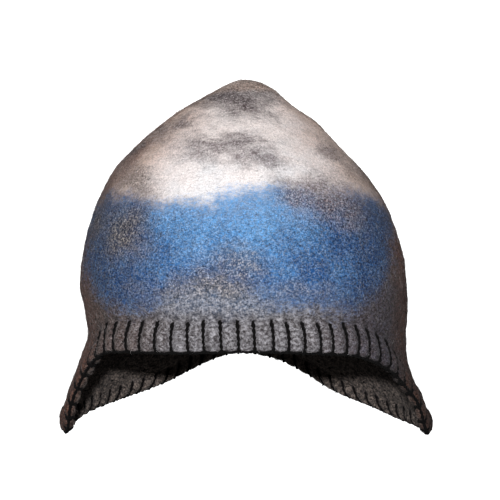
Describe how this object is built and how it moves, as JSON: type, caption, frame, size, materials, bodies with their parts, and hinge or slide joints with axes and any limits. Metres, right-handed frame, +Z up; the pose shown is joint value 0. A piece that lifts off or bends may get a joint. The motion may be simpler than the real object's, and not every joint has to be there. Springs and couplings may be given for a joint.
{
  "type": "sauna hat",
  "caption": "Felted wool sauna hat with a pointed dome crown and flaring ear flaps, open below for a head.",
  "frame": {"origin": "centre of the head opening, level with the lowest edge of the felt over the forehead", "axes": "+Z up through the crown, -Y out of the face opening, +X to the right in the front view"},
  "size_m": [0.2255, 0.2127, 0.2165],
  "materials": {
    "felt": "matte wool felt, marbled",
    "yarn": "matte spun wool yarn"
  },
  "bodies": {
    "root": {"felt_shell": "felt"}
  },
  "joints": []
}
